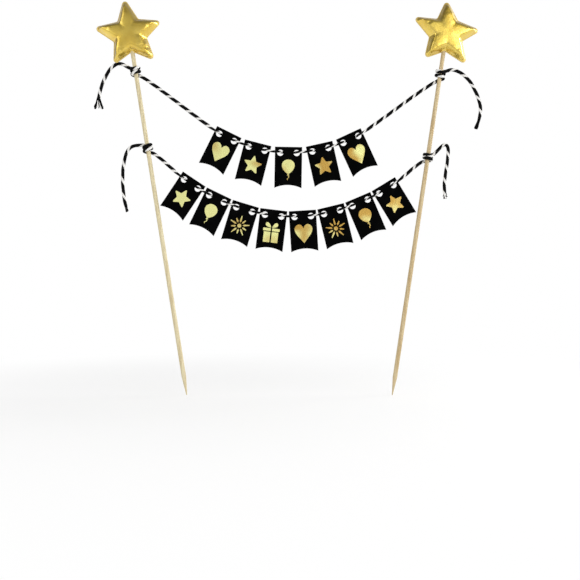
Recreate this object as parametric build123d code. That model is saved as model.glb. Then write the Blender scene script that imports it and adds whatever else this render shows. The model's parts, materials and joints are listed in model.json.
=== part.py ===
from build123d import *
import os
from math import atan, cos, degrees, pi, radians, sin, sqrt, tan

# A banner on two sticks. Two skewers, each with a padded star on top, carry two lengths of
# twine, and the twine carries cards that swing. Lengths are in mm, angles in degrees.
# X runs along the banner, +Y is its back, and the skewers' points stand at Z = 0.

# Skewers
stick_length = 250.0
stick_diameter = 3.0
stick_top_diameter = 2.7
push_in_length = 50.0
point_length = 12.0
point_end_diameter = 0.6
left_point_reach = 67.8
right_point_reach = 69.2
left_lean_angle = 9.0
right_lean_angle = 8.5

# Padded stars. They are sewn by hand, so each arm has its own direction, in degrees from the
# stick's line, and its own reach to the corner before the tip is rounded
left_star_arm_angles = (0, 71, 143.5, 215, 283.5)
left_star_arm_lengths = (24.6, 24.7, 22.9, 24.4, 23.4)
right_star_arm_angles = (8, 71.5, 146.5, 221.5, 284)
right_star_arm_lengths = (23.1, 25.5, 21.6, 25.1, 23.3)
star_top_distance = 6.6
star_notch_radius = 11.3
star_edge_distance = 10.2
star_tip_fillet_radius = 2.0
star_notch_fillet_radius = 1.2
star_rim_width = 1.2
star_crown_height = 5.6
star_skin_thickness = 0.5
star_fill_clearance = 0.12
star_stick_clearance = 0.1
crown_scale_shares = (1.0, 0.9, 0.74, 0.5, 0.2)
crown_rise_shares = (0.0, 0.4, 0.7, 0.92, 1.0)

# Twine and its turns round the sticks, each knot at its distance below the stick's top
twine_diameter = 1.8
wrap_clearance = 0.12
wrap_turns = 2
upper_left_wrap_pitch = 2.45
upper_right_wrap_pitch = 3.5
lower_left_wrap_pitch = 2.6
lower_right_wrap_pitch = 2.45
upper_left_knot_distance = 33.8
upper_right_knot_distance = 39.8
lower_left_knot_distance = 86.8
lower_right_knot_distance = 93.2

# Cards
card_width = 18.2
card_height = 27.5
card_thickness = 0.35
card_arch_height = 2.0
hole_diameter = 4.2
hole_spacing = 11.0
hole_edge_distance = 4.0
hang_offset_distance = 0.5

# How the twine is threaded: it stands off the card on both sides, and goes through a hole
# over a short reach either side of the hole's middle
thread_depth = 1.8
thread_reach_length = 0.8
knot_lead_length = 2.0
tail_lead_length = 2.0

# The two garlands: cards, twine between neighbouring holes, how far the middle hangs below
# the knots, and the slope of each card, which steps evenly from card to card because each
# card adds its weight to the pull
upper_count = 5
upper_link_length = 10.5
upper_sag_depth = 48.4
upper_shift_distance = 0.0
upper_slope_step_share = 0.24
upper_slope_middle_share = 0.017
lower_count = 8
lower_link_length = 8.8
lower_sag_depth = 39.0
lower_shift_distance = -0.4
lower_slope_step_share = 0.182
lower_slope_middle_share = 0.03

# The free ends of the twine as they hang: places counted from where each leaves its knot, in
# this unit
route_unit_length = 1.0
upper_left_tail_route = [
    (-8.8, 0.2, 4.0), (-13.8, 0.1, 1.6), (-17.6, -0.4, -4.0), (-20.8, -1.1, -11.8),
    (-22.7, -1.5, -19.5), (-22.5, -1.4, -27.0),
]
upper_right_tail_route = [
    (6.5, 0.1, 1.6), (12.2, 0.1, -0.7), (17.9, -0.2, -5.6), (22.1, -0.8, -13.0),
    (25.1, -1.3, -21.4), (24.7, -1.6, -29.6), (21.8, -1.4, -36.8),
]
lower_left_tail_route = [
    (-9.6, 0.2, -0.4), (-13.0, 0.1, -5.8), (-14.6, -0.4, -14.0), (-15.0, -0.9, -22.5),
    (-14.4, -1.3, -31.2), (-13.3, -1.5, -38.4), (-11.8, -1.3, -44.4),
]
lower_right_tail_route = [
    (5.9, 0.2, 4.1), (9.9, 0.2, 7.7), (12.0, 0.1, 5.4), (11.9, -0.3, -0.1),
    (10.7, -0.9, -8.6), (9.2, -1.3, -16.9), (9.1, -1.4, -24.1), (9.7, -1.3, -29.1),
]

# Sizes that follow from the ones above
arc_share = 0.45
star_height = stick_length - star_top_distance
cut_overrun = twine_diameter
twine_radius = twine_diameter / 2
back = Vector(0, 1, 0)
front = -back


def stick_radius(along):
    """The skewer's radius at a distance from its point, above the straight stretch."""
    straight_end = point_length + push_in_length
    share = (along - straight_end) / (stick_length - straight_end)
    return (stick_diameter + (stick_top_diameter - stick_diameter) * share) / 2


def stick_frame(side, reach, lean):
    """The skewer's own frame: its point at the origin and its length along Z."""
    return Location((side * reach, 0, 0), (0, side * lean, 0))


def stick():
    profile = Polyline(
        (0, 0),
        (point_end_diameter / 2, 0),
        (stick_diameter / 2, point_length),
        (stick_diameter / 2, point_length + push_in_length),
        (stick_top_diameter / 2, stick_length),
        (0, stick_length),
        close=True,
    )
    return revolve(Plane.XZ * make_face(profile), Axis.Z)


class Star:
    """A padded star, its middle at the origin and the stick coming up its Z."""

    def __init__(self, directions, reaches):
        self.directions, self.reaches = directions, reaches
        self.arms = len(directions)

    def outline(self, scale, depth):
        """The outline at a share of its size, in a plane at a depth before the middle."""
        corners = []
        following = self.directions[1:] + (self.directions[0] + 360,)
        for direction, after, reach in zip(self.directions, following, self.reaches):
            tip, notch = radians(direction + 90), radians((direction + after) / 2 + 90)
            size = scale * star_notch_radius
            corners.append((scale * reach * cos(tip), scale * reach * sin(tip)))
            corners.append((size * cos(notch), size * sin(notch)))
        face = make_face(Polyline(*corners, close=True))
        by_reach = face.vertices().sort_by(lambda v: Vector(*v).length)
        face = fillet(by_reach[self.arms:], scale * star_tip_fillet_radius)
        by_reach = face.vertices().sort_by(lambda v: Vector(*v).length)
        face = fillet(by_reach[:self.arms], scale * star_notch_fillet_radius)
        return Plane(origin=front * depth, x_dir=(1, 0, 0), z_dir=front) * face

    def dome(self, base_scale, rise):
        """A crowned half star: outlines that shrink as they rise."""
        rings = zip(crown_scale_shares, crown_rise_shares)
        return loft([self.outline(base_scale * s, rise * h) for s, h in rings], ruled=True)

    def pieces(self):
        """The front skin, the back skin and the filling."""
        outer_scale = 1 - star_rim_width / star_edge_distance
        inner_scale = outer_scale - star_skin_thickness / star_edge_distance
        fill_scale = inner_scale - star_fill_clearance / star_edge_distance
        inside = star_crown_height - star_skin_thickness
        entry = star_height - star_notch_radius
        bore = stick_radius(entry) + star_stick_clearance
        depth = stick_length - entry + star_stick_clearance + cut_overrun
        socket = Pos(0, 0, -star_notch_radius - cut_overrun) * Cylinder(
            bore, depth, align=(Align.CENTER, Align.CENTER, Align.MIN)
        )
        rim = extrude(self.outline(1, 0), star_skin_thickness, dir=front)
        shell = rim + self.dome(outer_scale, star_crown_height) - self.dome(inner_scale, inside)
        half = self.dome(fill_scale, inside - star_fill_clearance)
        filling = half + mirror(half, about=Plane.XZ)
        return shell - socket, mirror(shell, about=Plane.XZ) - socket, filling - socket


def card():
    """One card, its hang line along X at the origin, its front towards -Y."""
    top = hole_edge_distance - hang_offset_distance
    bottom = top - card_height
    side = card_width / 2
    outline = Curve() + [
        Polyline((-side, bottom), (-side, top), (side, top), (side, bottom)),
        ThreePointArc((side, bottom), (0, bottom + card_arch_height), (-side, bottom)),
    ]
    holes = [Pos(x, -hang_offset_distance) * Circle(hole_diameter / 2)
             for x in (-hole_spacing / 2, hole_spacing / 2)]
    face = make_face(outline) - holes
    plane = Plane(origin=(0, 0, 0), x_dir=(1, 0, 0), z_dir=front)
    return extrude(plane * face, card_thickness / 2, both=True)


def corner_radii(points):
    """The largest tangent arc for each corner of a route: (radius, turn in radians)."""
    found = []
    for before, here, after in zip(points, points[1:], points[2:]):
        turn = radians((here - before).get_angle(after - here))
        shorter = min((here - before).length, (after - here).length)
        found.append((arc_share * shorter / tan(turn / 2), turn))
    return found


def route_edges(points):
    """Straight runs joined by tangent arcs."""
    edges, start = [], points[0]
    for (radius, turn), before, here, after in zip(
        corner_radii(points), points, points[1:], points[2:]
    ):
        coming = (here - before).normalized()
        leaving = (after - here).normalized()
        setback = radius * tan(turn / 2)
        first, last = here - coming * setback, here + leaving * setback
        edges += [Line(start, first), TangentArc(first, last, tangent=coming)]
        start = last
    return edges + [Line(start, points[-1])]


def biarc_edges(start, start_dir, end, end_dir):
    """Two arcs that leave one point along one direction and reach another along another."""
    chord, both = end - start, start_dir + end_dir
    along, spread = chord.dot(both), 2 * (1 - start_dir.dot(end_dir))
    arm = (-along + sqrt(along**2 + spread * chord.dot(chord))) / spread
    first, last = start + start_dir * arm, end - end_dir * arm
    middle = (first + last) * 0.5
    return [
        TangentArc(start, middle, tangent=start_dir),
        TangentArc(middle, end, tangent=(last - first).normalized()),
    ]


def tube(name, edges):
    """Twine swept along a path, with its volume set against section times length."""
    path = Wire(edges)
    section = Plane(origin=path @ 0, z_dir=path % 0) * Circle(twine_radius)
    solid = sweep(section, path=path)
    plain = pi * twine_radius**2 * path.length
    print(f"{name}: length {path.length:.1f} mm, volume {solid.volume / plain:.4f} of section x length")
    return solid


class Knot:
    """Turns of twine round a stick, from the run at the stick's back to the tail."""

    def __init__(self, name, side, reach, lean, along, pitch, radius, inward):
        self.name, self.pitch = name, pitch
        angle = radians(side * lean)
        self.up = Vector(sin(angle), 0, cos(angle))
        self.out = Vector(cos(angle), 0, -sin(angle)) * side
        self.foot = Vector(side * reach, 0, 0) + self.up * along
        self.radius, self.inward = radius, inward
        self.run_start = self.at(0) + inward * twine_diameter
        self.tail_start = self.at(wrap_turns) + self.heading(wrap_turns) * twine_diameter

    def at(self, turns):
        angle = 2 * pi * turns
        ring = back * cos(angle) + self.out * sin(angle)
        return self.foot + ring * self.radius + self.up * (self.pitch * turns)

    def heading(self, turns):
        if turns == 0:
            return -self.inward
        angle = 2 * pi * turns
        ring = self.out * cos(angle) - back * sin(angle)
        return (ring * self.radius + self.up * (self.pitch / (2 * pi))).normalized()

    def solid(self):
        edges = [Line(self.run_start, self.at(0))]
        quarters = 4 * wrap_turns
        for k in range(quarters):
            a, b = k / 4, (k + 1) / 4
            edges += biarc_edges(self.at(a), self.heading(a), self.at(b), self.heading(b))
        edges.append(Line(self.at(wrap_turns), self.tail_start))
        steps = 360
        points = [self.at(wrap_turns * k / steps) for k in range(steps + 1)]
        lap = steps // wrap_turns // 2
        gap = min((p - q).length for i, p in enumerate(points) for q in points[i + lap:])
        print(f"{self.name}: least gap to itself {gap - twine_diameter:.2f} mm")
        return tube(self.name, edges)


class Garland:
    """One twine between two knots, with its cards: their places and slopes, and the route."""

    def __init__(self, name, knots, count, link, sag, shift, slope_step, slope_middle):
        left, right = knots
        self.left, self.right = left, right
        self.along = (right.run_start - left.run_start).normalized()
        slopes = [slope_middle + slope_step * ((count - 1) / 2 - k) for k in range(count)]
        self.lines = [Vector(1, 0, -s).normalized() for s in slopes]
        bar = hole_spacing + link
        level = (left.at(0).Z + right.at(0).Z) / 2
        start = Vector(shift, left.at(0).Y, level - sag)
        for k in range(count // 2):
            start -= self.lines[k] * bar
        if count % 2:
            start -= self.lines[count // 2] * (bar / 2)
        self.bends = [start]
        for line in self.lines:
            self.bends.append(self.bends[-1] + line * bar)
        self.hangs = [(a + b) * 0.5 for a, b in zip(self.bends, self.bends[1:])]
        self.name = name

    def route(self):
        """The twine lies before the cards between them, and behind each between its holes."""
        points = [self.left.run_start, self.left.run_start + self.along * knot_lead_length]
        points.append(self.bends[0] + front * thread_depth)
        for hang, line, bend in zip(self.hangs, self.lines, self.bends[1:]):
            for side in (-1, 1):
                hole = hang + line * (side * hole_spacing / 2)
                points.append(hole - line * thread_reach_length - front * (side * thread_depth))
                points.append(hole + line * thread_reach_length + front * (side * thread_depth))
            points.append(bend + front * thread_depth)
        points.append(self.right.run_start - self.along * knot_lead_length)
        points.append(self.right.run_start)
        return points

    def card_frame(self, k):
        slope = atan(self.lines[k].Z / self.lines[k].X)
        return Location(self.hangs[k], (0, -degrees(slope), 0))


def knots_of(level, distances, pitches):
    """The two knots of one twine, both turning at the radius that the thicker stick needs."""
    sides, reaches = (-1, 1), (left_point_reach, right_point_reach)
    leans = (left_lean_angle, right_lean_angle)
    heights = [stick_length - distance for distance in distances]
    radius = max(stick_radius(h) for h in heights) + wrap_clearance + twine_radius
    ends = [Vector(side * (reach + h * sin(radians(a))), 0, h * cos(radians(a)))
            for side, reach, h, a in zip(sides, reaches, heights, leans)]
    along = (ends[1] - ends[0]).normalized()
    names = (f"{level}_left_hitch", f"{level}_right_hitch")
    rows = zip(names, sides, reaches, leans, heights, pitches)
    return [Knot(n, side, reach, a, h, p, radius, along * -side)
            for n, side, reach, a, h, p in rows]


upper_knots = knots_of("upper", (upper_left_knot_distance, upper_right_knot_distance),
                       (upper_left_wrap_pitch, upper_right_wrap_pitch))
lower_knots = knots_of("lower", (lower_left_knot_distance, lower_right_knot_distance),
                       (lower_left_wrap_pitch, lower_right_wrap_pitch))
garlands = {
    "upper": Garland("upper", upper_knots, upper_count, upper_link_length, upper_sag_depth,
                     upper_shift_distance, upper_slope_step_share, upper_slope_middle_share),
    "lower": Garland("lower", lower_knots, lower_count, lower_link_length, lower_sag_depth,
                     lower_shift_distance, lower_slope_step_share, lower_slope_middle_share),
}
tail_routes = {
    "upper_left_tail": (upper_knots[0], upper_left_tail_route),
    "upper_right_tail": (upper_knots[1], upper_right_tail_route),
    "lower_left_tail": (lower_knots[0], lower_left_tail_route),
    "lower_right_tail": (lower_knots[1], lower_right_tail_route),
}

sticks = {
    "left": (stick_frame(-1, left_point_reach, left_lean_angle),
             Star(left_star_arm_angles, left_star_arm_lengths)),
    "right": (stick_frame(1, right_point_reach, right_lean_angle),
              Star(right_star_arm_angles, right_star_arm_lengths)),
}
one_card = card()

parts = {}
for name, (frame, star) in sticks.items():
    parts[f"{name}_stick"] = frame * stick()
    for piece, solid in zip(("front", "back", "filling"), star.pieces()):
        parts[f"{name}_star_{piece}"] = frame * Pos(0, 0, star_height) * solid

for level, garland in garlands.items():
    route = garland.route()
    tightest = min(radius for radius, turn in corner_radii(route))
    print(f"{level}_twine_run: tightest arc {tightest:.2f} mm")
    parts[f"{level}_twine_run"] = tube(f"{level}_twine_run", route_edges(route))
    for knot in (garland.left, garland.right):
        parts[knot.name] = knot.solid()
    for k in range(len(garland.hangs)):
        parts[f"{level}_pennant_{k + 1}"] = garland.card_frame(k) * one_card

for name, (knot, points) in tail_routes.items():
    leaving = knot.tail_start + knot.heading(wrap_turns) * tail_lead_length
    hanging = [knot.tail_start + Vector(p) * route_unit_length for p in points]
    route = [knot.tail_start, leaving] + hanging
    print(f"{name}: arcs", " ".join(f"{radius:.1f}" for radius, turn in corner_radii(route)))
    parts[name] = tube(name, route_edges(route))

os.makedirs("parts", exist_ok=True)
for name, solid in parts.items():
    export_step(solid, f"parts/{name}.step")
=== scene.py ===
import json
import math
import bpy
import bmesh
import numpy as np
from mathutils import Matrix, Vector, noise
from mathutils.geometry import delaunay_2d_cdt


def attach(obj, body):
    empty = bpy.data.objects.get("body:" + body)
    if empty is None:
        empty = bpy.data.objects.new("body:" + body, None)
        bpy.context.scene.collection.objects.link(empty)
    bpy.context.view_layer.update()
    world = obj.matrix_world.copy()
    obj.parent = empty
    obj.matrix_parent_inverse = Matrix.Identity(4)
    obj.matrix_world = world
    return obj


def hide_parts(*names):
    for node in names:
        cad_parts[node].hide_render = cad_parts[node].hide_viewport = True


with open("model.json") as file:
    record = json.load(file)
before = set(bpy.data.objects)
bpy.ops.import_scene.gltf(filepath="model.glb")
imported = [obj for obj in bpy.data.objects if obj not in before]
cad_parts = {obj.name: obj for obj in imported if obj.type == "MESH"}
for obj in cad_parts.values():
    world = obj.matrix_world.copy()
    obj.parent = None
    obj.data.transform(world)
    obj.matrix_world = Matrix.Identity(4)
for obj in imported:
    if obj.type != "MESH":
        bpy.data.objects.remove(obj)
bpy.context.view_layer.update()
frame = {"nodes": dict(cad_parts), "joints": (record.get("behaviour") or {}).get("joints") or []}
scene = bpy.context.scene


# Two bamboo skewers, split from the cane, rolled round and sharpened at the lower end.
# They are bare wood: straight pale fibres with thin brown strands and open pores.
# They lean outwards to the top, so each has its own grain direction.
class Socket:
    """One output of a shader node. Sums on it add Math nodes; add() makes any other node."""

    def __init__(self, tree, out=None):
        self.tree, self.out = tree, out

    def add(self, kind, settings=None, inputs=None, output=0):
        node = self.tree.nodes.new("ShaderNode" + kind)
        for key, value in (settings or {}).items():
            setattr(node, key, value)
        for key, value in (inputs or {}).items():
            if isinstance(value, Socket):
                self.tree.links.new(value.out, node.inputs[key])
            else:
                node.inputs[key].default_value = value
        return Socket(self.tree, node.outputs[output] if len(node.outputs) else None)

    def math(self, operation, *values):
        return self.add("Math", {"operation": operation}, dict(enumerate(values)))

    def mix(self, share, first, second):
        places = {0: share, 6: first, 7: second}
        return self.add("Mix", {"data_type": "RGBA"}, places, output=2)

    def step(self, low, high):
        """0 below low, 1 above high, and a smooth rise between."""
        settings = {"interpolation_type": "SMOOTHSTEP"}
        return self.add("MapRange", settings, {"Value": self, "From Min": low, "From Max": high})

    def noise(self, scale, detail):
        inputs = {"Vector": self, "Scale": scale, "Detail": detail}
        return self.add("TexNoise", inputs=inputs)

    def __add__(self, other):
        return self.math("ADD", self, other)

    def __sub__(self, other):
        return self.math("SUBTRACT", self, other)

    def __rsub__(self, other):
        return self.math("SUBTRACT", other, self)

    def __mul__(self, other):
        return self.math("MULTIPLY", self, other)

    __radd__ = __add__


def new_finish(name):
    """An empty material, and a place to start its nodes from."""
    material = bpy.data.materials.new(name)
    material.use_nodes = True
    material.node_tree.nodes.clear()
    return material, Socket(material.node_tree)


def close_finish(start, height, depth, **inputs):
    """The Principled shader, with a bump from a height of that depth in metres."""
    bump = start.add("Bump", inputs={"Height": height, "Distance": depth, "Strength": 1.0})
    named = {key.replace("_", " "): value for key, value in inputs.items()}
    shader = start.add("BsdfPrincipled", inputs={"Normal": bump, **named})
    start.add("OutputMaterial", inputs={"Surface": shader})


def dress(node, material):
    """Gives a CAD node its finish."""
    slots = frame["nodes"][node].data.materials
    slots.clear()
    slots.append(material)


stick_reach = {"left": 0.0678, "right": 0.0692}
stick_lean = {"left": math.radians(9.0), "right": math.radians(8.5)}
stick_side = {"left": -1, "right": 1}
# The right skewer is given darker colours than the left one as painted shade; the two are the same
# bamboo.
bamboo_pale = {"left": (0.74, 0.66, 0.43, 1), "right": (0.62, 0.505, 0.30, 1)}
bamboo_tan = {"left": (0.60, 0.50, 0.29, 1), "right": (0.49, 0.35, 0.17, 1)}
bamboo_strand, bamboo_pore = (0.46, 0.32, 0.15, 1), (0.24, 0.14, 0.06, 1)
# how often each pattern comes in a metre across the fibres and along them
band_scale, strand_scale, pore_scale = (900, 900, 9), (5200, 5200, 45), (6500, 6500, 330)
bamboo_grain_depth = 0.00006


def bamboo(name):
    material, start = new_finish(f"bamboo_{name}")
    place = start.add("TexCoord", output="Object")
    turn = -stick_side[name] * stick_lean[name]
    fibre = {"Vector": place, "Rotation": (0, turn, 0)}
    wide = start.add("Mapping", inputs={**fibre, "Scale": band_scale})
    fine = start.add("Mapping", inputs={**fibre, "Scale": strand_scale})
    short = start.add("Mapping", inputs={**fibre, "Scale": pore_scale})
    bands = wide.noise(1.0, 3.0)
    strands = fine.noise(1.0, 3.0)
    pores = short.noise(1.0, 1.0).step(0.66, 0.74)
    colour = start.mix(bands.step(0.35, 0.7), bamboo_pale[name], bamboo_tan[name])
    colour = start.mix(strands.step(0.56, 0.75) * 0.45, colour, bamboo_strand)
    colour = start.mix(pores * 0.6, colour, bamboo_pore)
    height = strands * 0.7 + bands * 0.3 - pores * 0.8
    close_finish(start, height, bamboo_grain_depth, Base_Color=colour,
                 Roughness=0.52 + strands * 0.2, Specular_IOR_Level=0.35)
    return material


for name in ("left", "right"):
    dress(f"{name}_stick", bamboo(name))


# Two padded stars of gold foil-faced cloth. Front and back are sealed together along a flat
# rim and stuffed tight, to a broad face with steep sides and slight folds at the notches.
# The skewer goes in between the two skins at the lowest notch.
star_below_top, stick_length = 0.0066, 0.250
star_notch_reach, star_edge_distance = 0.0118, 0.0106
star_rim, star_rim_half = 0.0006, 0.0003
# height of the face, width of the sloping sides, the sides' share of the height, and the
# share that is reached before the cloth swells
star_crown, star_side_width = 0.0056, 0.0022
star_side_share, star_full_share = 0.85, 0.92
star_tip_radius, star_notch_radius = 0.0020, 0.0012
star_tunnel_radius = 0.00155
star_arm_angles = {"left": (0, 71, 143.5, 215, 283.5), "right": (8, 71.5, 146.5, 221.5, 284)}
star_arm_lengths = {"left": (0.0252, 0.0256, 0.0237, 0.0251, 0.0240),
                    "right": (0.0234, 0.0261, 0.0223, 0.0257, 0.0237)}
# spacing of the skin's mesh, and the share of it that the mesh keeps off the seam
star_grid, seam_clear = 0.00075, 0.55
# where the folds begin and are full, counted from the middle, their half width and their depths
fold_start, fold_full, fold_half_width = 0.0030, 0.0085, 0.0010
fold_strengths = (0.0003, 0.0003, 0.0002, 0.0003, 0.0003)
# the cloth is swelled at this scale for so many frames, and moves by so much at most
cloth_scale, cloth_frames, cloth_swell = 25.0, 22, 0.0004
star_smoothings = 2
gold_bright, gold_deep = (0.89, 0.66, 0.115, 1), (0.79, 0.545, 0.07, 1)
rim_pale, rim_worn = (0.80, 0.61, 0.20, 1), (0.60, 0.43, 0.12, 1)
cloth_grain_depth, rim_rib_depth = 0.00006, 0.00008


def stick_axes(name):
    """Where a skewer's point is, and the directions across it and up it."""
    side, lean = stick_side[name], stick_lean[name]
    foot = Vector((side * stick_reach[name], 0, 0))
    up = Vector((side * math.sin(lean), 0, math.cos(lean)))
    across = Vector((math.cos(lean), 0, -side * math.sin(lean)))
    return foot, across, up


def rounded(corners, radii, spacing):
    """A closed outline with its corners rounded, as points about that far apart."""
    corners = [np.array(c) for c in corners]
    ends = []
    for k, here in enumerate(corners):
        before, after = corners[k - 1], corners[(k + 1) % len(corners)]
        coming, leaving = here - before, after - here
        coming, leaving = coming / np.linalg.norm(coming), leaving / np.linalg.norm(leaving)
        turn = math.atan2(coming[0] * leaving[1] - coming[1] * leaving[0], coming @ leaving)
        cut = radii[k] * math.tan(abs(turn) / 2)
        first = here - coming * cut
        normal = np.array([-coming[1], coming[0]]) * math.copysign(1, turn)
        centre = first + normal * radii[k]
        steps = max(2, round(radii[k] * abs(turn) / spacing))
        for j in range(steps + 1):
            a = turn * j / steps
            arm = first - centre
            ends.append(centre + np.array([arm[0] * math.cos(a) - arm[1] * math.sin(a),
                                           arm[0] * math.sin(a) + arm[1] * math.cos(a)]))
    points = []
    for a, b in zip(ends, ends[1:] + ends[:1]):
        steps = max(1, round(np.linalg.norm(b - a) / spacing))
        points += [a + (b - a) * j / steps for j in range(steps)]
    return np.array(points)


def inside(points, outline):
    """Which points lie in a closed outline."""
    x, y = points[:, 0:1], points[:, 1:2]
    x0, y0 = outline[:, 0], outline[:, 1]
    x1, y1 = np.roll(x0, -1), np.roll(y0, -1)
    across = (y0 > y) != (y1 > y)
    meets = x0 + (y - y0) * (x1 - x0) / np.where(y1 == y0, 1e-12, y1 - y0)
    return ((x < meets) & across).sum(1) % 2 == 1


def star_outline(name, scale, spacing):
    """A star's edge at a scale, with rounded tips and notches."""
    corners, radii = [], []
    angles = star_arm_angles[name]
    following = angles[1:] + (angles[0] + 360,)
    for angle, after, reach in zip(angles, following, star_arm_lengths[name]):
        tip, notch = math.radians(angle + 90), math.radians((angle + after) / 2 + 90)
        corners.append((scale * reach * math.cos(tip), scale * reach * math.sin(tip)))
        size = scale * star_notch_reach
        corners.append((size * math.cos(notch), size * math.sin(notch)))
        radii += [scale * star_tip_radius, scale * star_notch_radius]
    return rounded(corners, radii, spacing)


def star_sheet(name):
    """One flat skin as a triangle mesh: places, triangles, the seam line and the outer edge."""
    seam_scale = 1 - star_rim / star_edge_distance
    edge = star_outline(name, 1.0, star_grid)
    seam = star_outline(name, seam_scale, star_grid)
    reach = max(star_arm_lengths[name])
    rows = np.arange(-reach, reach, star_grid * math.sqrt(3) / 2)
    columns = np.arange(-reach, reach, star_grid)
    lattice = np.array([(x + (star_grid / 2 if k % 2 else 0), y)
                        for k, y in enumerate(rows) for x in columns])
    lattice = lattice[inside(lattice, seam)]
    apart = np.min(np.linalg.norm(lattice[:, None] - seam[None], axis=2), axis=1)
    lattice = lattice[apart > star_grid * seam_clear]
    places = np.concatenate([edge, seam, lattice])
    n, m = len(edge), len(seam)
    lines = [(k, (k + 1) % n) for k in range(n)] + [(n + k, n + (k + 1) % m) for k in range(m)]
    found = delaunay_2d_cdt([Vector(p) for p in places], lines, [list(range(n))], 1, 1e-7)
    flat = np.array([tuple(v) for v in found[0]])
    return flat, [tuple(f) for f in found[2]], n, m


def puffed(flat, seam):
    """Height of the stuffed shape over a flat skin: steep sides off the seam line, then a broad
    face with a low crown."""
    apart = np.min(np.linalg.norm(flat[:, None] - seam[None], axis=2), axis=1)
    apart = np.where(inside(flat, seam), apart, 0)
    side = np.clip(apart / star_side_width, 0, 1)
    crown = 1 - (1 - np.clip(apart / star_edge_distance, 0, 1)) ** 2
    return star_crown * (star_side_share * side + (star_full_share - star_side_share) * crown)


def notch_folds(name, flat, seam):
    """Depth of the folds that run from each notch towards the middle of a skin."""
    apart = np.min(np.linalg.norm(flat[:, None] - seam[None], axis=2), axis=1)
    depth = np.zeros(len(flat))
    angles = star_arm_angles[name]
    following = angles[1:] + (angles[0] + 360,)
    for angle, after, strength in zip(angles, following, fold_strengths):
        notch = math.radians((angle + after) / 2 + 90)
        reach = flat @ np.array((math.cos(notch), math.sin(notch)))
        beside = flat @ np.array((-math.sin(notch), math.cos(notch)))
        along = np.clip((reach - fold_start) / (fold_full - fold_start), 0, 1)
        fold = np.exp(-(beside / fold_half_width) ** 2) * along * along * (3 - 2 * along)
        depth = np.maximum(depth, strength * fold * np.clip(apart / fold_half_width, 0, 1))
    return depth


def inflate(mesh, pinned, cap):
    """Cloth under pressure, worked out at a larger scale; no point moves further than cap."""
    rest = np.array([v.co for v in mesh.vertices])
    sized = bpy.data.objects.new("star_cloth", mesh)
    scene.collection.objects.link(sized)
    for v in mesh.vertices:
        v.co *= cloth_scale
    group = sized.vertex_groups.new(name="held")
    group.add([int(k) for k in pinned], 1.0, "REPLACE")
    cloth = sized.modifiers.new("cloth", "CLOTH").settings
    cloth.vertex_group_mass = "held"
    cloth.quality = 6
    cloth.mass = 0.25
    cloth.tension_stiffness = cloth.compression_stiffness = 12
    cloth.shear_stiffness, cloth.bending_stiffness = 6, 0.4
    cloth.use_pressure, cloth.uniform_pressure_force = True, 5.0
    cloth.shrink_min = -0.03
    cloth.effector_weights.gravity = 0
    for frame_number in range(1, cloth_frames + 1):
        scene.frame_set(frame_number)
    made = sized.evaluated_get(bpy.context.evaluated_depsgraph_get())
    moved = np.array([v.co for v in made.data.vertices]) / cloth_scale
    bpy.data.objects.remove(sized)
    scene.frame_set(1)
    shift = moved - rest
    size = np.linalg.norm(shift, axis=1, keepdims=True)
    return rest + shift * np.minimum(1, cap / np.maximum(size, 1e-9))


def gold_foil_cloth():
    material, start = new_finish("gold_foil_cloth")
    place = start.add("TexCoord", output="Object")
    weave = {"Vector": place, "Scale": 2600.0, "Smoothness": 0.6}
    grain = start.add("TexVoronoi", {"feature": "SMOOTH_F1"}, weave)
    crease = place.noise(420.0, 4.0)
    tone = place.noise(90.0, 2.0)
    colour = start.mix(tone.step(0.35, 0.68), gold_bright, gold_deep)
    colour = start.mix(grain.step(0.45, 0.8) * 0.35, colour, gold_deep)
    height = grain * -0.55 + crease * 0.6
    close_finish(start, height, cloth_grain_depth, Base_Color=colour, Metallic=1.0,
                 Roughness=0.24 + crease * 0.14, Coat_Weight=1.0, Coat_Roughness=0.12)
    return material


def pressed_rim():
    material, start = new_finish("pressed_rim")
    place = start.add("TexCoord", output="Object")
    ribs = place.noise(3300.0, 2.0)
    colour = start.mix(ribs.step(0.4, 0.7), rim_pale, rim_worn)
    close_finish(start, ribs, rim_rib_depth, Base_Color=colour, Metallic=0.55,
                 Roughness=0.42 + ribs * 0.2)
    return material


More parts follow.
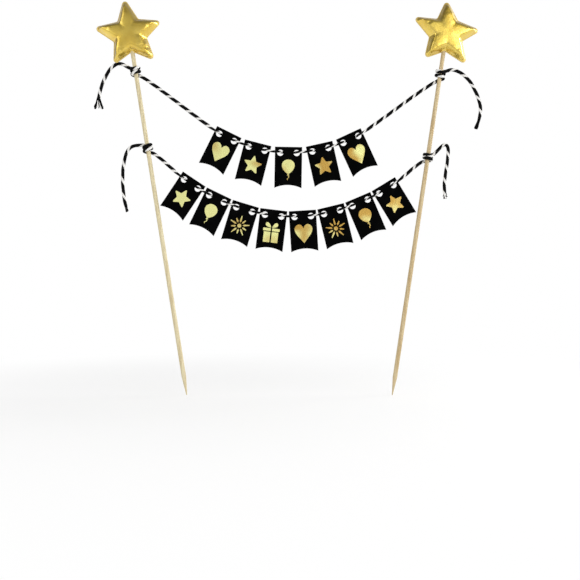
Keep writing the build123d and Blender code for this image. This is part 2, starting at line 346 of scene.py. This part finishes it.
foil_cloth, rim_foil = gold_foil_cloth(), pressed_rim()
for name in ("left", "right"):
    flat, triangles, edge_count, seam_count = star_sheet(name)
    seam = flat[edge_count:edge_count + seam_count]
    rise = puffed(flat, seam)
    rim_zone = np.arange(len(flat)) < edge_count + seam_count
    count = len(flat)
    front = np.column_stack([flat[:, 0], -rise - star_rim_half, flat[:, 1]])
    back = np.column_stack([flat[:, 0], rise + star_rim_half, flat[:, 1]])
    faces = list(triangles) + [tuple(count + k for k in reversed(f)) for f in triangles]
    faces += [(k, count + k, count + (k + 1) % edge_count, (k + 1) % edge_count)
              for k in range(edge_count)]
    mesh = bpy.data.meshes.new(f"{name}_star")
    mesh.from_pydata(np.concatenate([front, back]).tolist(), [], faces)
    held = np.concatenate([np.where(rim_zone)[0], count + np.where(rim_zone)[0]])
    shape = np.concatenate([front, back])
    shape = inflate(mesh.copy(), held, cloth_swell)
    folds = notch_folds(name, flat, seam)
    shape[:count, 1] += folds
    shape[count:, 1] -= folds
    # the cloth passes over the skewer like a sleeve where it goes in
    low = shape[:, 2] < 0
    tunnel = np.sqrt(np.maximum(star_tunnel_radius**2 - shape[:, 0]**2, 0))
    facing = np.where(np.arange(len(shape)) < count, -1.0, 1.0)
    lifted = facing * np.maximum(np.abs(shape[:, 1]), tunnel)
    shape[:, 1] = np.where(low, lifted, shape[:, 1])
    foot, across, up = stick_axes(name)
    middle = foot + up * (stick_length - star_below_top)
    axes = np.array([across, (0, 1, 0), up])
    shape = shape @ axes + np.array(middle)
    mesh.vertices.foreach_set("co", shape.ravel())
    mesh.update()
    skin = bmesh.new()
    skin.from_mesh(mesh)
    bmesh.ops.recalc_face_normals(skin, faces=skin.faces)
    loose = [v for v in skin.verts if not rim_zone[v.index % count]]
    for _ in range(star_smoothings):
        bmesh.ops.smooth_vert(skin, verts=loose, factor=0.5, use_axis_x=True, use_axis_y=True,
                              use_axis_z=True)
    skin.to_mesh(mesh)
    skin.free()
    mesh.polygons.foreach_set("use_smooth", [True] * len(mesh.polygons))
    star = bpy.data.objects.new(f"{name}_star", mesh)
    scene.collection.objects.link(star)
    mesh.materials.append(foil_cloth)
    mesh.materials.append(rim_foil)
    flange = [int(all(rim_zone[k % count] for k in f)) for f in faces]
    mesh.polygons.foreach_set("material_index", flange)
    smoother = star.modifiers.new("smooth", "SUBSURF")
    smoother.levels = smoother.render_levels = 1
    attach(star, "sticks")
    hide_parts(f"{name}_star_front", f"{name}_star_back", f"{name}_star_filling")


# Thirteen cards, die-cut from matt black card stock with a hollowed lower edge, and punched
# with two holes for the twine. The stock is through-dyed, with a fine fibrous tooth.
card_face, card_worn = (0.0010, 0.0010, 0.0011, 1), (0.0030, 0.0030, 0.0030, 1)
card_tooth_depth = 0.00003


def black_card_stock():
    material, start = new_finish("black_card_stock")
    place = start.add("TexCoord", output="Object")
    tooth = place.noise(5200.0, 3.0)
    cloud = place.noise(160.0, 3.0)
    wear = cloud.step(0.35, 0.75) * 0.6 + tooth.step(0.5, 0.8) * 0.4
    colour = start.mix(wear, card_face, card_worn)
    close_finish(start, tooth * 0.7 + cloud * 0.3, card_tooth_depth, Base_Color=colour,
                 Roughness=0.66 + tooth * 0.2, Specular_IOR_Level=0.015)
    return material


card_stock = black_card_stock()
card_hinges = {j["child"]: j for j in frame["joints"] if "pennant" in j["child"]}
for node in card_hinges:
    dress(node, card_stock)


# Gold foil stamped on each card: simple party shapes pressed into its front, each a thin
# film with a crushed, mirror-like face.
foil_pale, foil_amber = (0.95, 0.94, 0.39, 1), (0.60, 0.37, 0.08, 1)
foil_depth, foil_sunk, foil_crush_depth = 0.00006, 0.00002, 0.00005
# painted reflection: how much further towards amber the film's gold is painted in a metre towards
# the right-hand cards
painted_reflection_slope = 2.2
card_half_thickness = 0.000175
motif_drop, motif_size = 0.0118, 0.0136


def smooth_curve(points, steps=10):
    """A closed outline drawn smoothly through a few points."""
    points = np.array(points, float)
    found = []
    for k in range(len(points)):
        a, b, c, d = (points[(k + j) % len(points)] for j in (-1, 0, 1, 2))
        for j in range(steps):
            t = j / steps
            found.append(0.5 * (2 * b + (c - a) * t + (2 * a - 5 * b + 4 * c - d) * t * t
                                + (3 * b - a - 3 * c + d) * t**3))
    return np.array(found)


def star_motif():
    turn = np.radians(90 + 36 * np.arange(10))
    reach = np.where(np.arange(10) % 2 == 0, 0.5, 0.235)
    corners = np.column_stack([reach * np.cos(turn), reach * np.sin(turn)])
    return [rounded(corners, [0.035, 0.02] * 5, 0.02)]


def heart_motif():
    right = [(0.0, 0.26), (0.06, 0.36), (0.17, 0.44), (0.31, 0.42), (0.42, 0.30), (0.43, 0.14),
             (0.34, -0.06), (0.18, -0.26), (0.05, -0.42)]
    left = [(-x, y) for x, y in reversed(right[1:])]
    return [smooth_curve(right + [(0.0, -0.47)] + left)]


def balloon_motif():
    body = [(0.0, 0.5), (0.17, 0.46), (0.29, 0.33), (0.31, 0.16), (0.23, -0.02), (0.09, -0.16),
            (0.0, -0.2), (-0.09, -0.16), (-0.23, -0.02), (-0.31, 0.16), (-0.29, 0.33),
            (-0.17, 0.46)]
    tie = rounded([(0.0, -0.19), (-0.075, -0.28), (0.075, -0.28)], [0.012] * 3, 0.02)
    string = [(0.018, -0.29), (0.05, -0.34), (0.035, -0.4), (-0.02, -0.45), (-0.01, -0.5),
              (-0.045, -0.5), (-0.055, -0.44), (0.0, -0.39), (0.012, -0.35), (-0.018, -0.29)]
    return [smooth_curve(body), tie, smooth_curve(string, 5)]


def gift_motif():
    half, gap = 0.36, 0.035
    pieces = []
    for side in (-1, 1):
        pieces.append(rounded([(side * gap, -0.5), (side * half, -0.5), (side * half, 0.02),
                               (side * gap, 0.02)][::side], [0.02] * 4, 0.03))
        pieces.append(rounded([(side * gap, 0.06), (side * (half + 0.05), 0.06),
                               (side * (half + 0.05), 0.2), (side * gap, 0.2)][::side],
                              [0.02] * 4, 0.03))
        loop = [(side * 0.03, 0.24), (side * 0.14, 0.25), (side * 0.27, 0.3), (side * 0.31, 0.4),
                (side * 0.24, 0.48), (side * 0.12, 0.42)][::side]
        pieces.append(smooth_curve(loop, 6))
    return pieces


def burst_motif():
    dot_points, dot_radius, rays = 28, 0.1, 10
    round_dot = np.linspace(0, 2 * math.pi, dot_points, endpoint=False)
    pieces = [dot_radius * np.column_stack([np.cos(round_dot), np.sin(round_dot)])]
    for k in range(rays):
        turn = 2 * math.pi * k / rays
        reach = 0.5 if k % 2 == 0 else 0.4
        ray = np.array([(0.0, 0.16), (0.045, 0.24), (0.02, reach), (-0.02, reach), (-0.045, 0.24)])
        c, s = math.cos(turn), math.sin(turn)
        pieces.append(ray @ np.array([[c, s], [-s, c]]))
    return pieces


def stamped_foil():
    material, start = new_finish("stamped_foil")
    place = start.add("TexCoord", output="Object")
    crush = place.noise(1500.0, 4.0)
    across = start.add("SeparateXYZ", inputs={"Vector": place}, output="X")
    # The film's pale-to-amber tone, from a broad noise and a slope to the right, is painted
    # reflection of the room, standing in for each card's tilt to the light.
    sheen = place.noise(75.0, 1.0) + across * painted_reflection_slope
    colour = start.mix(sheen.step(0.40, 0.66), foil_pale, foil_amber)
    colour = start.mix(crush.step(0.6, 0.85) * 0.4, colour, foil_amber)
    close_finish(start, crush, foil_crush_depth, Base_Color=colour, Metallic=0.8,
                 Roughness=0.2 + crush * 0.18)
    return material


stamp = stamped_foil()
motifs = {"star": star_motif(), "heart": heart_motif(), "balloon": balloon_motif(),
          "gift": gift_motif(), "burst": burst_motif()}
order = {"upper": ("heart", "star", "balloon", "star", "heart"),
         "lower": ("star", "balloon", "burst", "gift", "heart", "burst", "balloon", "star")}
for level, shapes in order.items():
    for k, shape in enumerate(shapes):
        node = f"{level}_pennant_{k + 1}"
        hinge = card_hinges[node]
        along = Vector(hinge["axis"]).normalized()
        up = Vector((-along.z, 0, along.x))
        middle = Vector(hinge["pos_m"]) - up * motif_drop
        front_y = -card_half_thickness - foil_depth
        built = bmesh.new()
        for outline in motifs[shape]:
            face_points = [middle + along * (x * motif_size) + up * (y * motif_size)
                           for x, y in outline]
            top = [built.verts.new(p + Vector((0, front_y, 0))) for p in face_points]
            low = [built.verts.new(p + Vector((0, -card_half_thickness + foil_sunk, 0)))
                   for p in face_points]
            built.faces.new(top)
            built.faces.new(reversed(low))
            for a in range(len(top)):
                b = (a + 1) % len(top)
                built.faces.new((top[a], low[a], low[b], top[b]))
        bmesh.ops.recalc_face_normals(built, faces=built.faces)
        bmesh.ops.triangulate(built, faces=[f for f in built.faces if len(f.verts) > 4])
        mesh = bpy.data.meshes.new(f"{node}_foil")
        built.to_mesh(mesh)
        built.free()
        mesh.materials.append(stamp)
        film = bpy.data.objects.new(f"{node}_foil", mesh)
        scene.collection.objects.link(film)
        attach(film, node)


# Two lengths of two-ply cotton twine, one ply black and one white, laid up with a left-hand
# twist. Each is threaded behind every card through its two holes, wound twice round the
# skewers and left with loose ends.
twine_diameter = 0.0018
black_radius, black_shift = 0.00110, 0.00008
white_radius, white_shift = 0.00090, 0.00032
# length of one full twist; it opens up towards the loose ends
run_pitch = 0.0082
end_pitch = {"upper_left": 0.0096, "upper_right": 0.0090,
             "lower_left": 0.0108, "lower_right": 0.0090}
# where the black ply faces the front: so far along a run, or so far back from a cut end
black_front = {"upper": 0.0126, "lower": 0.0079, "upper_left": -0.0156, "upper_right": -0.0071,
               "lower_left": -0.0050, "lower_right": -0.0072}
ring_step, ring_count = 0.00033, 22
hole_half_spacing, thread_reach, thread_depth = 0.0055, 0.0008, 0.0018
# from the last hole of a card to the first of the next
hole_link = {"upper": 0.0105, "lower": 0.0088}
knot_lead, tail_lead = 0.0020, 0.0020
# how much thinner the twine is drawn at the cards, over what length it thins, and how many
# such lengths ahead of the first hole it begins
drawn_thinner, drawn_ramp, drawn_ahead = 0.31, 0.004, 2.25
ply_swell, ply_swell_scale = 0.05, 900
# what is left of the plies at an opened end, and how quickly they thin towards it
opened_core, opened_curve = 0.3, 0.7
# the yarns' wave in one round of the ply and in a metre along it, and how far lint bends it
yarns_round, yarns_along, yarn_bend = 56.549, 9500.0, 2.4
yarn_depth = 0.00007
ply_black, ply_black_worn = (0.0025, 0.0025, 0.0028, 1), (0.008, 0.008, 0.008, 1)
ply_white, ply_white_shade = (0.90, 0.89, 0.87, 1), (0.72, 0.71, 0.68, 1)


def spun_ply(name, plain, groove_shade_and_wear):
    material, start = new_finish(name)
    lay = start.add("UVMap", {"uv_map": "twine_lay"})
    round_ply, length = (start.add("SeparateXYZ", inputs={"Vector": lay}, output=k)
                         for k in "XY")
    place = start.add("TexCoord", output="Object")
    lint = place.noise(4200.0, 3.0)
    # the single yarns of a ply cross it the other way from the ply's own twist
    wave = round_ply * yarns_round + length * yarns_along + lint * yarn_bend
    yarns = start.math("SINE", wave)
    cover = yarns * 0.5 + 0.5
    # Between the yarns the colour goes over to the second colour: painted shade in the grooves of
    # the white ply, and a lighter worn tone on the black ply. Lint spots take some of it at
    # random.
    colour = start.mix(cover.step(0.05, 0.75), groove_shade_and_wear, plain)
    colour = start.mix(lint.step(0.62, 0.8) * 0.5, colour, groove_shade_and_wear)
    close_finish(start, cover * 0.8 + lint * 0.5, yarn_depth, Base_Color=colour,
                 Roughness=0.92, Specular_IOR_Level=0.04, Sheen_Weight=0.02,
                 Sheen_Roughness=0.5)
    return material


black_ply = spun_ply("black_ply", ply_black, ply_black_worn)
white_ply = spun_ply("white_ply", ply_white, ply_white_shade)


def spline_line(name, points):
    """The smooth line of a twine: a NURBS spline held by its route's points, read as points."""
    curve = bpy.data.curves.new(name, "CURVE")
    curve.dimensions = "3D"
    spline = curve.splines.new("NURBS")
    spline.points.add(len(points) - 1)
    for held, point in zip(spline.points, points):
        held.co = (*point, 1.0)
    spline.order_u = 3
    spline.use_endpoint_u = True
    spline.resolution_u = 16
    holder = bpy.data.objects.new(name, curve)
    scene.collection.objects.link(holder)
    bpy.context.view_layer.update()
    drawn = bpy.data.meshes.new_from_object(holder)
    line = np.array([v.co for v in drawn.vertices])
    bpy.data.objects.remove(holder)
    bpy.data.meshes.remove(drawn)
    bpy.data.curves.remove(curve)
    return line


# stray fibres: how many to a metre, how far they reach, how thick they are and taper, how much
# they stand off and lean over, and how many rings stay bare at the ends
fuzz_per_metre, fuzz_reach = 2000, (0.0004, 0.0010)
fuzz_radius, fuzz_taper, fuzz_sides = 0.000018, 0.5, 3
fuzz_rise, fuzz_lean, fuzz_beside, fuzz_bare = 0.75, 0.7, 0.8, 4
# loosened yarns: points along each, their taper, how they part in a fork, spread in depth and
# curve outwards, their waves, and how unevenly they are cut
fray_points, fray_taper, fray_sides = 9, 0.75, 5
fork_share, fray_deep, fray_curve = (0.75, 1.05), 0.6, 1.4
fray_wave, fray_waves = 0.0001, (4, 9)
fray_uneven = (-0.0012, 0.0006)


class Twine:
    """The two plies as one closed skin with a waisted section, turning along the line."""

    def __init__(self, name, points, body, pitch, black_at, opened=0.0, threaded=None):
        line = spline_line(name, points)
        along = np.concatenate([[0], np.cumsum(np.linalg.norm(np.diff(line, axis=0), axis=1))])
        keep = np.concatenate([[True], np.diff(along) > 1e-9])
        line, along = line[keep], along[keep]
        self.name, self.body, self.length = name, body, along[-1]
        rings = max(12, round(self.length / ring_step))
        self.places = np.linspace(0, self.length, rings + 1)
        self.path = np.column_stack([np.interp(self.places, along, line[:, k])
                                     for k in range(3)])
        tangent = np.gradient(self.path, axis=0)
        self.tangent = tangent / np.linalg.norm(tangent, axis=1, keepdims=True)
        # the plies lie still in a frame that is carried along the line without turning
        side = np.cross(self.tangent[0], (0.0, 1.0, 0.02))
        self.side, self.other = np.zeros((rings + 1, 3)), np.zeros((rings + 1, 3))
        for k in range(rings + 1):
            side = side - self.tangent[k] * (side @ self.tangent[k])
            side = side / np.linalg.norm(side)
            self.side[k], self.other[k] = side, np.cross(self.tangent[k], side)
        self.twist = -2 * math.pi * self.places / pitch
        k = np.searchsorted(self.places, black_at if black_at > 0 else self.length + black_at)
        self.twist += math.atan2(-self.other[k][1], -self.side[k][1]) - self.twist[k]
        # the twine is drawn thinner where it is pulled through the punched holes
        self.drawn = np.zeros(rings + 1)
        if threaded:
            first, last = (np.argmin(np.linalg.norm(self.path - np.array(p), axis=1))
                           for p in threaded)
            within = np.minimum(self.places - self.places[first],
                                self.places[last] - self.places)
            self.drawn = np.clip(within / drawn_ramp + drawn_ahead, 0, 1)
        self.make_skin(rings, opened)

    def around(self, k, angle):
        """Directions away from the line at a ring, at angles counted from the black ply."""
        turned = np.atleast_1d(angle) + self.twist[k]
        return np.outer(np.cos(turned), self.side[k]) + np.outer(np.sin(turned), self.other[k])

    def make_skin(self, rings, opened):
        turn = np.linspace(0, 2 * math.pi, ring_count, endpoint=False)
        lobes = []
        for radius, shift, start in ((black_radius, black_shift, 0.0),
                                     (white_radius, white_shift, math.pi)):
            beyond = np.sqrt(np.maximum(radius**2 - (shift * np.sin(turn)) ** 2, 0))
            lobes.append(shift * np.cos(turn - start) + beyond)
        reach = np.maximum(*lobes)
        outer = lobes[1] + np.roll(lobes[1], -1) > lobes[0] + np.roll(lobes[0], -1)
        left = (self.length - self.places) / max(opened, 1e-6)
        core = opened_core + (1 - opened_core) * np.clip(left, 0, 1) ** opened_curve
        thinned = np.where(left < 1, core, 1 - drawn_thinner * self.drawn)
        swell = [1 + ply_swell * noise.noise(Vector(p) * ply_swell_scale) for p in self.path]
        rows = [self.path[k] + self.around(k, turn) * (reach * swell[k] * thinned[k])[:, None]
                for k in range(rings + 1)]
        faces, lays = [], []
        for k in range(rings):
            for j in range(ring_count):
                i = (j + 1) % ring_count
                faces.append((k * ring_count + j, k * ring_count + i,
                              (k + 1) * ring_count + i, (k + 1) * ring_count + j))
                u0, u1, v0, v1 = j / ring_count, (j + 1) / ring_count, *self.places[k:k + 2]
                lays += [(u0, v0), (u1, v0), (u1, v1), (u0, v1)]
        faces.append(tuple(reversed(range(ring_count))))
        faces.append(tuple(rings * ring_count + j for j in range(ring_count)))
        lays += [(0.0, 0.0)] * ring_count + [(0.0, self.length)] * ring_count
        white = [int(w) for w in outer] * rings + [0, 0]
        self.piece = self.add_piece(self.name, np.concatenate(rows), faces, lays, white)

    def add_piece(self, name, vertices, faces, lays, white):
        mesh = bpy.data.meshes.new(name)
        mesh.from_pydata(vertices.tolist(), [], faces)
        layer = mesh.uv_layers.new(name="twine_lay")
        layer.data.foreach_set("uv", np.array(lays, np.float32).ravel())
        mesh.materials.append(black_ply)
        mesh.materials.append(white_ply)
        mesh.polygons.foreach_set("material_index", white)
        mesh.polygons.foreach_set("use_smooth", [len(f) == 4 for f in faces])
        piece = bpy.data.objects.new(name, mesh)
        scene.collection.objects.link(piece)
        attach(piece, self.body)
        return piece

    def fibres(self, name, lines, sides, thick, thin):
        """Thin tapered fibres along short lines, each with 1 for white or 0 for black."""
        vertices, faces, lays, white = [], [], [], []
        for line, tone in lines:
            along = np.gradient(line, axis=0)
            along /= np.linalg.norm(along, axis=1, keepdims=True)
            first = len(vertices)
            for k, (point, way) in enumerate(zip(line, along)):
                u = np.cross(way, (0.31, 0.83, 0.46))
                u /= np.linalg.norm(u)
                v = np.cross(way, u)
                radius = thick + (thin - thick) * k / (len(line) - 1)
                vertices += [point + (u * math.cos(2 * math.pi * j / sides)
                                      + v * math.sin(2 * math.pi * j / sides)) * radius
                             for j in range(sides)]
            for k in range(len(line) - 1):
                for j in range(sides):
                    i = (j + 1) % sides
                    a, b = first + k * sides, first + (k + 1) * sides
                    faces.append((a + j, a + i, b + i, b + j))
            faces.append(tuple(first + j for j in reversed(range(sides))))
            faces.append(tuple(len(vertices) - sides + j for j in range(sides)))
            white += [tone] * ((len(line) - 1) * sides + 2)
        for face in faces:
            lays += [(0.0, 0.0)] * len(face)
        return self.add_piece(name, np.array(vertices), faces, lays, white)

    def fuzz(self, seed):
        """Stray cotton fibres that stand off the plies."""
        random = np.random.default_rng(seed)
        lines = []
        free = np.where(self.drawn == 0)[0][fuzz_bare:-fuzz_bare]
        for _ in range(int(len(free) * ring_step * fuzz_per_metre)):
            k = random.choice(free)
            angle = random.uniform(0, 2 * math.pi)
            out, beside = self.around(k, angle)[0], self.around(k, angle + math.pi / 2)[0]
            lean = self.tangent[k] * random.uniform(-1, 1)
            lean = lean + beside * random.uniform(-fuzz_beside, fuzz_beside)
            reach = random.uniform(*fuzz_reach)
            start = self.path[k] + out * (twine_diameter / 2)
            steps = np.linspace(0, 1, 4)[:, None]
            line = start + out * reach * steps * fuzz_rise + lean * reach * steps**2 * fuzz_lean
            lines.append((line, int(math.cos(angle) < 0)))
        return self.fibres(f"{self.name}_fuzz", lines, fuzz_sides, fuzz_radius,
                           fuzz_radius * fuzz_taper)

    def fray(self, seed, length, spread, counts, fork, yarn_radius):
        """The loosened yarns at a cut end: they leave the plies and open out, forked or not."""
        random = np.random.default_rng(seed)
        first = int(np.searchsorted(self.places, self.length - length))
        steps, end = np.linspace(0, 1, fray_points), len(self.path) - 1
        base = self.path[np.round(first + steps * (end - first)).astype(int)]
        across = np.cross(self.tangent[end], (0.0, 1.0, 0.0))
        across /= np.linalg.norm(across)
        lines = []
        for tone, count in enumerate(counts):
            middle = self.around(first, tone * math.pi)[0] * white_shift
            for k in range(count):
                if fork and not tone:
                    share = (-1 if k % 2 else 1) * random.uniform(*fork_share)
                else:
                    share = random.uniform(-1, 1)
                away = across * share + np.array((0, random.uniform(-fray_deep, fray_deep), 0))
                outwards = self.around(first, random.uniform(0, 2 * math.pi))[0]
                inner = middle + outwards * white_radius * 0.5
                bent = away[None] * (spread * steps[:, None] ** fray_curve)
                wave = self.around(first, random.uniform(0, 2 * math.pi))[0]
                waves = fray_wave * np.sin(steps * random.uniform(*fray_waves))
                bent = bent + wave * waves[:, None]
                past_cut = self.tangent[end] * random.uniform(*fray_uneven)
                reach = base + past_cut * steps[:, None]
                lines.append((reach + inner * (1 - 0.5 * steps[:, None]) + bent, tone))
        return self.fibres(f"{self.name}_frayed", lines, fray_sides, yarn_radius,
                           yarn_radius * fray_taper)


# each cut end: how far back it has opened, how far it spreads, its black and white yarns,
# whether the black yarns part in two, and how thick the yarns are
cut_ends = {"upper_left": (0.0090, 0.0028, (36, 3), True, 0.00052),
            "upper_right": (0.0075, 0.0009, (48, 0), False, 0.00056),
            "lower_left": (0.0042, 0.0008, (26, 2), False, 0.00042),
            "lower_right": (0.0045, 0.0015, (20, 16), False, 0.00034)}
knot_distance = {"upper_left": 0.0338, "upper_right": 0.0385,
                 "lower_left": 0.0861, "lower_right": 0.0923}
wrap_radius = {"upper": 0.00250, "lower": 0.00254}
wrap_pitch = {"upper_left": 0.00245, "upper_right": 0.0028,
              "lower_left": 0.0024, "lower_right": 0.0020}
wrap_turns, wrap_points = 2, 12
# how far the twine climbs behind the skewer before its first turn
wrap_climb = {"upper_left": 0.0, "upper_right": 0.0016,
              "lower_left": 0.0004, "lower_right": 0.0006}
# how far the held points of a turn stand outside the line that they draw
wrap_swell = 1 / math.cos(math.pi / wrap_points) ** 0.5
# where each loose end hangs, in millimetres from where it leaves the turns
tail_routes = {
    "upper_left": [(-8.8, 0.2, 4.0), (-13.8, 0.1, 1.6), (-17.6, -0.4, -4.0),
                   (-20.8, -1.1, -11.8), (-22.7, -1.5, -19.5), (-22.5, -1.4, -27.0)],
    "upper_right": [(6.5, 0.1, 1.6), (12.2, 0.1, -0.7), (17.9, -0.2, -5.9), (22.1, -0.8, -13.9),
                    (25.1, -1.3, -22.8), (24.7, -1.6, -31.2), (21.8, -1.4, -38.4)],
    "lower_left": [(-9.6, 0.2, -0.4), (-13.0, 0.1, -5.8), (-14.6, -0.4, -14.0),
                   (-15.0, -0.9, -22.5), (-14.4, -1.3, -31.2), (-13.3, -1.5, -38.4),
                   (-11.8, -1.3, -44.4)],
    "lower_right": [(5.9, 0.2, 4.1), (9.9, 0.2, 7.7), (12.0, 0.1, 5.4), (11.9, -0.3, -0.1),
                    (10.7, -0.9, -8.6), (9.2, -1.3, -16.9), (9.1, -1.4, -24.1),
                    (9.7, -1.3, -29.1)],
}
millimetre = 0.001
end_seed, run_seed = 7, 5
back = Vector((0, 1, 0))

for level in ("upper", "lower"):
    hinges = [j for j in frame["joints"] if j["child"].startswith(f"{level}_pennant")]
    swing = next(j for j in frame["joints"] if j["child"] == f"{level}_garland")
    chord = Vector(swing["axis"]).normalized()
    starts = {}
    for name in ("left", "right"):
        foot, across, up = stick_axes(name)
        side = stick_side[name]
        centre = foot + up * (stick_length - knot_distance[f"{level}_{name}"])
        outward = across * side
        radius, pitch = wrap_radius[level], wrap_pitch[f"{level}_{name}"]
        inward = chord * -side
        starts[name] = centre + back * radius + inward * twine_diameter
        points = [starts[name]]
        foot_of_turns = centre + up * wrap_climb[f"{level}_{name}"]
        for k in range(wrap_turns * wrap_points + 1):
            angle = 2 * math.pi * k / wrap_points
            ring = back * math.cos(angle) + outward * math.sin(angle)
            grown = wrap_swell if 0 < k < wrap_turns * wrap_points else 1
            points.append(foot_of_turns + ring * (radius * grown) + up * (pitch * k / wrap_points))
        leaving = (outward * radius + up * (pitch / (2 * math.pi))).normalized()
        tail_start = points[-1] + leaving * twine_diameter
        points += [tail_start, tail_start + leaving * tail_lead]
        points += [tail_start + Vector(p) * millimetre for p in tail_routes[f"{level}_{name}"]]
        opened, *loosened = cut_ends[f"{level}_{name}"]
        end = Twine(f"{level}_{name}_twine_end", points, "sticks", end_pitch[f"{level}_{name}"],
                    black_front[f"{level}_{name}"], opened)
        extra = [end.fray(len(points), opened, *loosened), end.fuzz(side + end_seed)]
        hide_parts(f"{level}_{name}_hitch", f"{level}_{name}_tail")
    holes = [(Vector(h["pos_m"]), Vector(h["axis"]).normalized()) for h in hinges]
    # a bend lies midway between neighbouring holes, where the two cards' lines meet
    half_bar = hole_half_spacing + hole_link[level] / 2
    points = [starts["left"], starts["left"] + chord * knot_lead]
    points.append(holes[0][0] - holes[0][1] * half_bar - back * thread_depth)
    for middle, line in holes:
        for side in (-1, 1):
            hole = middle + line * (side * hole_half_spacing)
            points.append(hole - line * thread_reach + back * (side * thread_depth))
            points.append(hole + line * thread_reach - back * (side * thread_depth))
        points.append(middle + line * half_bar - back * thread_depth)
    points += [starts["right"] - chord * knot_lead, starts["right"]]
    outermost = [holes[k][0] + holes[k][1] * (side * hole_half_spacing)
                 for k, side in ((0, -1), (-1, 1))]
    run = Twine(f"{level}_twine", points, f"{level}_garland", run_pitch, black_front[level],
                threaded=outermost)
    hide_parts(f"{level}_twine_run")
    run.fuzz(run_seed)


# The studio: a white floor and surround, a soft lamp to the right of the camera, one at the
# right-hand side, a weaker one to the left, and a level camera in front of the banner.
def shown_white(start):
    """1 for the rays that the background has to be white for, 0 for the rest."""
    rays = start.tree.nodes.new("ShaderNodeLightPath").outputs
    camera_ray, glossy, through = (Socket(start.tree, rays[f"Is {kind} Ray"])
                                   for kind in ("Camera", "Glossy", "Transmission"))
    return camera_ray.math("MAXIMUM", camera_ray, glossy.math("MAXIMUM", glossy, through))


def floor_finish():
    material, start = new_finish("studio_floor")
    place = start.add("TexCoord", output="Object")
    away = start.add("VectorMath", {"operation": "LENGTH"}, {0: place}, output="Value")
    lit = start.add("BsdfDiffuse", inputs={"Color": (0.9, 0.9, 0.9, 1)})
    glow = start.add("Emission", inputs={"Color": (1, 1, 1, 1), "Strength": 0.13})
    # metal mirrors the floor towards the camera dimmer than the rest of it
    forward = start.add("SeparateXYZ", inputs={"Vector": place}, output="Y").step(-0.50, -0.04)
    glossy = start.add("LightPath", output="Is Glossy Ray")
    tone = start.mix(glossy * (1 - forward), (1, 1, 1, 1), (0.55, 0.55, 0.55, 1))
    white = start.add("Emission", inputs={"Color": tone, "Strength": 1.0})
    near = start.add("AddShader", inputs={0: lit, 1: glow})
    ground = start.add("MixShader", inputs={0: away.step(0.08, 0.40), 1: near, 2: white})
    seen = start.add("MixShader", inputs={0: shown_white(start), 1: lit, 2: ground})
    start.add("OutputMaterial", inputs={"Surface": seen})
    return material


floor_half, floor_drop = 4.0, 0.0002
floor_mesh = bpy.data.meshes.new("studio_floor")
floor_mesh.from_pydata([(x * floor_half, y * floor_half, -floor_drop) for x, y in
                        ((-1, -1), (1, -1), (1, 1), (-1, 1))], [], [(0, 1, 2, 3)])
floor_mesh.materials.append(floor_finish())
floor = bpy.data.objects.new("studio_floor", floor_mesh)
scene.collection.objects.link(floor)

world = bpy.data.worlds.new("studio")
scene.world = world
world.use_nodes = True
world.node_tree.nodes.clear()
air = Socket(world.node_tree)
direction = air.add("TexCoord", output="Generated")
east, north, height = (air.add("SeparateXYZ", inputs={"Vector": direction}, output=k)
                       for k in "XYZ")
# what metal mirrors: a white sweep behind and low down all round, a dim ceiling, and a dim
# room towards the camera and to its left
ceiling, lamp_side = height.step(0.05, 0.50), east.step(-0.45, 0.45)
sweep = north.step(-0.35, 0.35) * (1 - height.step(0.40, 0.80))
sweep = sweep * (east.step(-0.9, -0.2) * 0.7 + 0.3)
dim = (1 - ceiling) * 0.70 + 0.30
bright = dim * (lamp_side * 0.50 + 0.66) * (east.step(-0.95, -0.45) * 0.5 + 0.5)
bright = bright.math("MAXIMUM", bright, sweep)
bright = bright.math("MAXIMUM", bright, 1 - height.step(-0.05, 0.06))
mirrored = air.mix(bright, (0.0, 0.0, 0.0, 1), (1, 1, 1, 1))
camera_ray = air.add("LightPath", output="Is Camera Ray")
backdrop = air.mix(camera_ray, mirrored, (1, 1, 1, 1))
shown = air.add("Background", inputs={"Color": backdrop, "Strength": 1.0})
room = air.add("Background", inputs={"Color": (1, 1, 1, 1), "Strength": 0.6})
surround = air.add("MixShader", inputs={0: shown_white(air), 1: room, 2: shown})
air.add("OutputWorld", inputs={"Surface": surround})


def soft_lamp(name, place, aim, size, power):
    light = bpy.data.lights.new(name, "AREA")
    light.shape, light.size, light.energy = "SQUARE", size, power
    lamp = bpy.data.objects.new(name, light)
    lamp.location = place
    lamp.rotation_euler = (Vector(aim) - Vector(place)).to_track_quat("-Z", "Y").to_euler()
    scene.collection.objects.link(lamp)


soft_lamp("key", (0.74, -0.76, 0.20), (0.05, 0, 0.18), 1.0, 7.0)
soft_lamp("side", (0.95, 0.28, 0.50), (0.05, 0, 0.2), 0.45, 5.0)
soft_lamp("fill", (-0.9, -0.7, 0.5), (0, 0, 0.15), 0.8, 3.0)

frame_width, view_angle = 0.3867, math.radians(40)
camera_right, camera_height = 0.001, 0.070
camera_data = bpy.data.cameras.new("camera")
camera_data.sensor_fit = "HORIZONTAL"
camera_data.angle = view_angle
camera = bpy.data.objects.new("camera", camera_data)
camera_away = frame_width / 2 / math.tan(view_angle / 2)
camera.location = (camera_right, -camera_away, camera_height)
camera.rotation_euler = (math.radians(90), 0, 0)
scene.collection.objects.link(camera)
scene.camera = camera
scene.view_settings.view_transform = "Standard"

bpy.context.view_layer.update()
